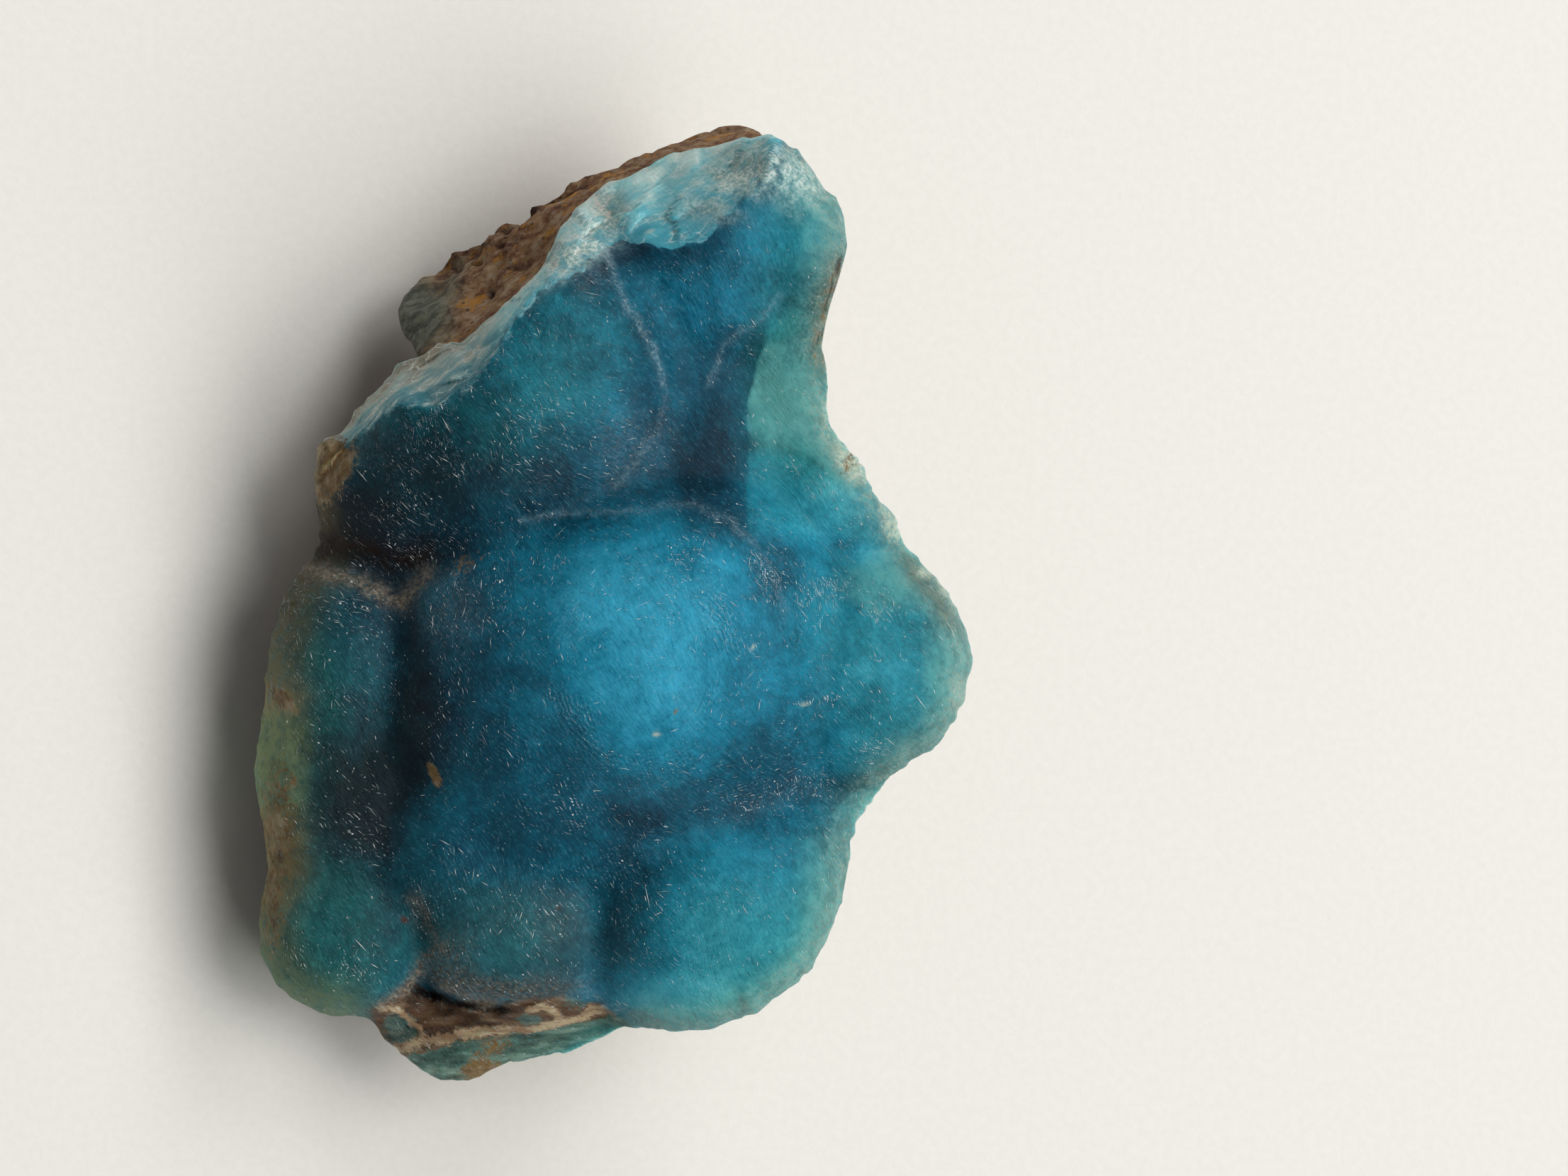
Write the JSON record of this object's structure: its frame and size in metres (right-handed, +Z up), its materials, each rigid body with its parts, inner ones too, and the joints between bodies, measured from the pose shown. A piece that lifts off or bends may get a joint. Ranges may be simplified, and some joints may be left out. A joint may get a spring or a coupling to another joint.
{
  "type": "raw hemimorphite specimen",
  "caption": "Loose hand piece of raw blue mineral: a crust of grown-together domes, broken along one side, on a lump of rusty brown rock with a flat to rest on.",
  "frame": {"origin": "middle of the bounding box's bottom, on the flat that the piece rests on", "axes": "+Z up from the flat, +Y along the long side towards the narrow broken end, +X towards the side with the thin pale rim"},
  "size_m": [0.0394, 0.0562, 0.0244],
  "materials": {
    "hemimorphite": "translucent sky blue with a silky skin of fine needles, deep blue between the domes, pale at the rim and the break",
    "limonite": "rough dull rusty brown with ochre patches, dark red pits and grey streaks"
  },
  "bodies": {
    "root": {"hemimorphite_crust": "hemimorphite", "limonite_matrix": "limonite"}
  },
  "joints": []
}
